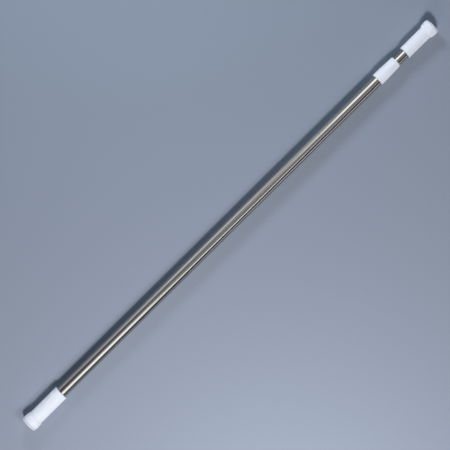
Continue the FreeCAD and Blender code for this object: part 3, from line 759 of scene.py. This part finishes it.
class BAR_OT_mouth_collar(BarOperator, bpy.types.Operator):
    """Make the tapered collar on the outer tube's mouth"""

    bl_idname = "bar.mouth_collar"
    bl_label = "Mouth collar"

    def execute(self, context):
        shape = context.scene.bar_shape
        low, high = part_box("mouth_collar")
        radius = high.z
        tube_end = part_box("outer_tube")[1]
        grip_end = tube_end.x
        grip_bore = tube_end.z + TUBE_CLEARANCE
        nose_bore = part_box("inner_tube")[1].z + SLIDE_CLEARANCE
        outline = rounded([
            (low.x, grip_bore, 0.25 * MM),
            (grip_end, grip_bore),
            (grip_end, nose_bore),
            (high.x, nose_bore, 0.3 * MM),
            (high.x, nose_bore + 0.55 * MM, 0.2 * MM),
            (high.x - 0.35 * MM, nose_bore + 0.95 * MM, 0.5 * MM),
            (high.x - COLLAR_NOSE, nose_bore + COLLAR_NOSE_WALL, COLLAR_NOSE_ROUND),
            (low.x + COLLAR_STRAIGHT, radius, COLLAR_TAPER_ROUND),
            (low.x, radius, 0.4 * MM),
        ], 8)
        mesh = turned_mesh("mouth_collar_moulding", outline, even_angles(shape.segments))
        add_piece("mouth_collar_moulding", mesh, material_of("White plastic"), "outer_section",
                  "white_plastic", "mouth_collar")
        return {"FINISHED"}


# The pan-head screws, in millimetres: the head's height and the rounding of its dome, the thread's root and
# crest radii and its pitch, the length of the point and the reach of the driver's cross.
SCREW_SHAPE = {
    "head": 2.2,
    "dome": 1.2,
    "root": 1.4,
    "crest": 1.75,
    "pitch": 1.25,
    "point": 2.2,
    "cross": 2.1,
}
SCREW_FACETS = 72
# The head's face is flat out to the first share of its radius, and curves over to its side at the second. It
# is at its widest at a share of its height.
FACE_FLAT = 0.68
FACE_SHOULDER = 0.9
HEAD_WIDEST = 0.55
FACE_RINGS = 10
# Rings for each turn of the thread, and how steep the thread's flanks are.
THREAD_RINGS = 8
THREAD_SLOPE = 1.7
# The driver's cross: half the width of an arm, the slope of its side and its depth.
CROSS_ARM = 0.42 * MM
CROSS_SIDE = 0.12 * MM
CROSS_DEPTH = 1.3 * MM

# The body and the facing of each screw.
SCREWS = {
    "outer_foot_screw": ("outer_section", "outer"),
    "inner_foot_screw": ("inner_section", "inner"),
    "lock_screw": ("lock_unit", "outer"),
}


def screw_piece(node, body, facing):
    """A pan-head screw with a cross recess, a helical thread and a tapered point."""
    low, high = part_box(node)
    at = run(facing, low, high)
    length = high.x - low.x
    size = {key: value * MM for key, value in SCREW_SHAPE.items()}
    head = high.z
    shank_end = length - size["point"]
    depth = size["crest"] - size["root"]
    shank_length = shank_end - size["head"]
    face = [(at(0), head * FACE_FLAT * ring / FACE_RINGS) for ring in range(FACE_RINGS)]
    rings = int(shank_length / size["pitch"] * THREAD_RINGS)
    shank = [(at(size["head"] + shank_length * ring / rings), size["root"]) for ring in range(1, rings + 1)]
    outline = rounded(face + [
        (at(0), head * FACE_SHOULDER, size["dome"]),
        (at(size["head"] * HEAD_WIDEST), head, 0.4 * MM),
        (at(size["head"]), head, 0.15 * MM),
        (at(size["head"]), size["root"]),
        *shank,
        (at(length), 0),
    ], 5)

    def thread(x, radius, angle):
        along = abs(x - at(0))
        if along <= size["head"] + 0.05 * MM or along > shank_end or radius > size["crest"]:
            return 0
        phase = (along / size["pitch"] - angle / (2 * math.pi)) % 1.0
        return depth * max(0.0, 1.0 - abs(2 * phase - 1) * THREAD_SLOPE)

    mesh = turned_mesh(node + "_turned", outline, even_angles(SCREW_FACETS), thread)
    inwards = 1 if at(length) > at(0) else -1
    for vertex in mesh.vertices:
        vertex.co.x += inwards * cross_depth(vertex.co, abs(vertex.co.x - at(0)), size["cross"])
    return add_piece(node + "_turned", mesh, material_of("Zinc steel"), body, "zinc_steel", node)


def cross_depth(place, along, reach):
    """How far the driver's cross sinks below a point of the head's face."""
    out = math.hypot(place.y, place.z)
    if along > 0.3 * MM or out > reach:
        return 0.0
    nearest = min(abs(place.y), abs(place.z))
    arm = max(0.0, min(1.0, (CROSS_ARM - nearest) / CROSS_SIDE))
    return arm * CROSS_DEPTH * (1 - out / reach) ** 0.5


class BAR_OT_screws(BarOperator, bpy.types.Operator):
    """Make the foot screws and the lock screw"""

    bl_idname = "bar.screws"
    bl_label = "Screws"

    def execute(self, context):
        for node, (body, facing) in SCREWS.items():
            screw_piece(node, body, facing)
        return {"FINISHED"}


# Facets round the spring's wire, and rings of them for each turn.
WIRE_FACETS = 14
COIL_RINGS = 30


def coil_places(low, high, wire, turns):
    """Places along a coiled wire whose end turns lie closed, as (x, angle)."""
    free = (high - low - 4 * wire) / (turns - 2)
    places = []
    for ring in range(int(turns * COIL_RINGS) + 1):
        turn = ring / COIL_RINGS
        closed_turns = min(turn, 1.0) + max(0.0, turn - turns + 1)
        open_turns = turn - closed_turns
        places.append((low + wire + closed_turns * wire + open_turns * free, 2 * math.pi * turn))
    return places


def coil_mesh(name, places, coil, wire, low, high):
    """A round wire wound on a cylinder, its ends ground flat on the planes x = low and x = high."""
    bm = bmesh.new()
    rings = []
    for x, angle in places:
        outward = Vector((0, math.sin(angle), math.cos(angle)))
        ring = []
        for k in range(WIRE_FACETS):
            spot = 2 * math.pi * k / WIRE_FACETS
            point = outward * (coil + wire * math.cos(spot)) + Vector((x + wire * math.sin(spot), 0, 0))
            point.x = min(high, max(low, point.x))
            ring.append(bm.verts.new(point))
        rings.append(ring)
    for ring, on in zip(rings, rings[1:]):
        join_rings(bm, ring, on)
    bm.faces.new(rings[0])
    bm.faces.new(rings[-1])
    bmesh.ops.recalc_face_normals(bm, faces=bm.faces)
    mesh = bpy.data.meshes.new(name)
    bm.to_mesh(mesh)
    bm.free()
    return mesh


class BAR_OT_spring(BarOperator, bpy.types.Operator):
    """Make the compression spring"""

    bl_idname = "bar.spring"
    bl_label = "Compression spring"

    def execute(self, context):
        shape = context.scene.bar_shape
        low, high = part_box("compression_spring")
        wire = shape.spring_wire / 2
        coil = high.z - wire
        places = coil_places(low.x, high.x, wire, shape.spring_turns)
        mesh = coil_mesh("compression_spring_coil", places, coil, wire, low.x, high.x)
        spring = add_piece("compression_spring_coil", mesh, material_of("Spring steel"), "lock_unit",
                           "spring_steel", "compression_spring")
        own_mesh(spring)
        return {"FINISHED"}


class BAR_OT_lock_finishes(BarOperator, bpy.types.Operator):
    """Give every CAD piece that stays its own finish"""

    bl_idname = "bar.lock_finishes"
    bl_label = "Lock and fixings"

    def execute(self, context):
        slots = {entry["node"]: entry["material_slot"] for entry in frame["record"]["subparts"]}
        for node, obj in frame["nodes"].items():
            obj.data.materials.clear()
            obj.data.materials.append(material_of(SLOT_FINISH[slots[node]]))
        return {"FINISHED"}


# --- stage ----------------------------------------------------------------------------------------

# Soft lights, in metres from the middle of the bar as seen through the lens: name, centre (right, up and
# height), the place on the floor that it faces (right and up), its diameter, its strength in watts, and
# whether it is flagged off the floor.
SOFT_LIGHTS = (
    ("Key", (0.22, -2.43, 3.50), (0.0, -0.55), 0.8, 134.0, False),
    ("Pool", (0.10, -0.64, 0.62), (0.1, -0.64), 0.3, 3.1, False),
    ("Back", (-0.32, 1.08, 0.74), (0.1, 0.1), 0.4, 7.0, False),
    ("Side", (-1.35, 1.85, 0.75), (0.0, 0.0), 1.2, 40.0, True),
    ("Far side", (1.95, -1.15, 0.75), (0.0, 0.0), 1.2, 18.0, True),
    ("Near end", (-1.70, -1.70, 0.50), (0.0, 0.0), 1.0, 11.0, True),
    ("Far end", (1.70, 1.70, 0.50), (0.0, 0.0), 1.0, 12.0, True),
)
# Lights that aren't white.
LIGHT_TINT = {"Back": (0.72, 0.87, 1.0)}

# The room that polished surfaces mirror, in bands that run along the bar: where each band lies, in degrees
# from overhead, how soft its edges are, and its brightness from one end of the room (0) to the other (1).
ROOM_BANDS = (
    ("Ceiling", -125, 125, 20, ((0, 0.36), (1, 0.36))),
    ("Window", -50, -9, 3, ((0, 1.8), (0.24, 1.8), (0.32, 0.8), (0.38, 0.0), (1, 0.0))),
    ("Window edge", -44, -35, 2, ((0, 0), (0.27, 0.4), (0.4, 3.6), (0.6, 2.3), (0.8, 0.9), (1, 0.1))),
    ("Dark gap", -79, -41, 2, ((0, -0.1), (0.2, -0.2), (0.4, -0.36), (1, -0.36))),
    ("Dark corner", -86, -76, 2, ((0, -0.3), (0.3, -0.3), (0.45, 0.0), (1, 0.0))),
    ("Far wall", -114, -79, 2, ((0, -0.2), (0.3, -0.2), (0.5, 0.80), (1, 1.25))),
    ("Near wall", 76, 100, 4, ((0, 0.35), (0.5, 0.38), (1, 0.16))),
    ("Bright wall", 47, 77, 4, ((0, 0.10), (0.2, 0.4), (0.45, 0.92), (0.7, 0.45), (0.85, -0.05), (1, -0.15))),
    ("Ceiling panel", 10, 46, 3, ((0, -0.16), (0.45, 0.0), (0.72, 0.40), (0.8, 1.75), (1, 2.3))),
    ("Dark strip", 27, 55, 3, ((0, -0.22), (0.3, -0.18), (0.42, 0.0), (1, 0.0))),
)
# The most that a band can add or take away, how far a direction leans along the bar at the room's ends, the
# room's darkest spot and its tint.
BAND_LIMIT = 3.0
ROOM_LEAN = 0.15
ROOM_DARKEST = 0.03
ROOM_TINT = (0.94, 0.97, 1.0, 1.0)
# The dim light that reaches everything that isn't a mirror.
EVEN_LIGHT = 0.02

FLOOR_REACH = 15.0
SENSOR_WIDTH = 36
CAMERA_REACH = 50


def draw_curve(mapping, points):
    """Sets a curve node's points."""
    curve = mapping.curves[0]
    curve.points[0].location = points[0]
    curve.points[-1].location = points[-1]
    for point in points[1:-1]:
        curve.points.new(*point)
    for point in curve.points:
        point.handle_type = "VECTOR"
    mapping.update()


def studio_place(right, up, height):
    """A place in the studio, given as seen through the lens."""
    stage = bpy.context.scene.bar_stage
    low, high = Vector(CAD_BOUNDS[0]), Vector(CAD_BOUNDS[1])
    across = Vector((math.cos(stage.camera_turn), math.sin(stage.camera_turn), 0))
    along = Vector((-across.y, across.x, 0))
    middle = Vector(((low.x + high.x) / 2, 0, 0))
    return middle + across * right + along * up + Vector((0, 0, height))


def soft_light(name, centre, target, diameter, strength, flagged):
    """A round soft spot. Polished surfaces mirror the room instead of it."""
    light = bpy.data.lights.new(name, "AREA")
    light.shape = "DISK"
    light.size = diameter
    light.energy = strength
    light.color = LIGHT_TINT.get(name, (1.0, 1.0, 1.0))
    obj = bpy.data.objects.new(name, light)
    bpy.context.scene.collection.objects.link(obj)
    obj.location = studio_place(*centre)
    obj.rotation_mode = "QUATERNION"
    obj.rotation_quaternion = (studio_place(*target, 0) - obj.location).to_track_quat("-Z", "Y")
    obj.visible_glossy = False
    if flagged:
        obj.light_linking.receiver_collection = bar_collection()


def bar_collection():
    """Every piece of the bar, without the floor."""
    bar = bpy.data.collections.get("Bar") or bpy.data.collections.new("Bar")
    for obj in bpy.context.scene.objects:
        if obj.type == "MESH" and obj.name != "Floor" and obj.name not in bar.objects:
            bar.objects.link(obj)
    return bar


def room_band(g, angle, along, start, end, edge, levels):
    """One lengthwise band of the mirrored room."""
    rise = g.span(angle, start - edge, start + edge)
    fall = g.span(angle, end - edge, end + edge, 1.0, 0.0)
    level = g.add("ShaderNodeFloatCurve", {"Value": along})
    draw_curve(level.mapping, [(place, value / (2 * BAND_LIMIT) + 0.5) for place, value in levels])
    brightness = g.span(level.outputs["Value"], 0.0, 1.0, -BAND_LIMIT, BAND_LIMIT)
    return g.math("MULTIPLY", g.math("MULTIPLY", rise, fall), brightness)


def floor_material():
    """Plain matt paper with a very faint grain."""
    stage = bpy.context.scene.bar_stage
    material, g, shader, position = new_material("Floor")
    grain = g.noise(position, 900.0, 2.0)
    g.feed(shader["Base Color"], g.mix(grain, rgba(stage.floor, 0.99), rgba(stage.floor, 1.01)))
    shader["Roughness"].default_value = 0.9
    shader["Specular IOR Level"].default_value = 0.2
    return material


class BAR_OT_stage(BarOperator, bpy.types.Operator):
    """Make the floor, the lights, the world and the camera"""

    bl_idname = "bar.stage"
    bl_label = "Stage"

    def execute(self, context):
        scene = context.scene
        stage = scene.bar_stage
        low, high = Vector(CAD_BOUNDS[0]), Vector(CAD_BOUNDS[1])
        middle = (low + high) / 2
        self.add_floor(low.z, middle)
        for settings in SOFT_LIGHTS:
            soft_light(*settings)
        self.add_world(scene)
        self.add_camera(scene, stage, middle)
        scene.view_settings.view_transform = "Standard"
        return {"FINISHED"}

    def add_floor(self, height, middle):
        bm = bmesh.new()
        corners = [(-1, -1), (1, -1), (1, 1), (-1, 1)]
        bm.faces.new([
            bm.verts.new((middle.x + FLOOR_REACH * x, FLOOR_REACH * y, height)) for x, y in corners])
        mesh = bpy.data.meshes.new("Floor")
        bm.to_mesh(mesh)
        bm.free()
        floor = bpy.data.objects.new("Floor", mesh)
        bpy.context.scene.collection.objects.link(floor)
        mesh.materials.append(floor_material())

    def add_world(self, scene):
        """Dim even light for everything, and a room of bright and dark bands for polished surfaces."""
        world = bpy.data.worlds.new("Studio")
        world.use_nodes = True
        g = Graph(world.node_tree)
        background = world.node_tree.nodes["Background"]
        direction = g.add("ShaderNodeTexCoord").outputs["Generated"]
        room = g.add("ShaderNodeSeparateXYZ", {"Vector": direction})
        turn = g.math("ARCTAN2", room.outputs["Y"], room.outputs["Z"])
        angle = g.math("MULTIPLY", turn, math.degrees(1))
        along = g.span(room.outputs["X"], -ROOM_LEAN, ROOM_LEAN)
        room_light = 0.0
        for _, start, end, edge, levels in ROOM_BANDS:
            room_light = g.math("ADD", room_band(g, angle, along, start, end, edge, levels), room_light)
        room_light = g.math("MAXIMUM", room_light, ROOM_DARKEST)
        glossy = g.add("ShaderNodeLightPath").outputs["Is Glossy Ray"]
        strength = g.math("ADD", g.math("MULTIPLY", glossy, room_light),
                          g.math("MULTIPLY", g.math("SUBTRACT", 1.0, glossy), EVEN_LIGHT))
        background.inputs["Color"].default_value = ROOM_TINT
        g.feed(background.inputs["Strength"], strength)
        scene.world = world

    def add_camera(self, scene, stage, middle):
        data = bpy.data.cameras.new("Camera")
        data.lens = stage.camera_lens
        data.sensor_width = SENSOR_WIDTH
        data.clip_end = CAMERA_REACH
        camera = bpy.data.objects.new("Camera", data)
        scene.collection.objects.link(camera)
        camera.location = (middle.x + stage.camera_offset[0], stage.camera_offset[1], stage.camera_height)
        camera.rotation_euler = (0, 0, stage.camera_turn)
        scene.camera = camera


# --- add-on ---------------------------------------------------------------------------------------

STEPS = (
    BAR_OT_lock_finishes,
    BAR_OT_tubes,
    BAR_OT_end_sleeves,
    BAR_OT_foot_pads,
    BAR_OT_mouth_collar,
    BAR_OT_screws,
    BAR_OT_spring,
    BAR_OT_stage,
)


class BAR_PT_panel(bpy.types.Panel):
    """The steps, in order, in the sidebar"""

    bl_idname = "BAR_PT_panel"
    bl_label = "Window security bar"
    bl_space_type = "VIEW_3D"
    bl_region_type = "UI"
    bl_category = "Bar"

    def draw(self, context):
        for step in STEPS:
            self.layout.operator(step.bl_idname)
        for name, group in SETTINGS.items():
            box = self.layout.box()
            for key in group.__annotations__:
                box.prop(getattr(context.scene, name), key)


CLASSES = (*SETTINGS.values(), *STEPS, BAR_PT_panel)


def register():
    for cls in CLASSES:
        bpy.utils.register_class(cls)
    for name, group in SETTINGS.items():
        setattr(bpy.types.Scene, name, bpy.props.PointerProperty(type=group))


def unregister():
    for name in SETTINGS:
        delattr(bpy.types.Scene, name)
    for cls in reversed(CLASSES):
        bpy.utils.unregister_class(cls)


def main():
    register()
    for step in STEPS:
        category, name = step.bl_idname.split(".")
        getattr(getattr(bpy.ops, category), name)()
    bpy.context.view_layer.update()


if __name__ == "__main__":
    main()
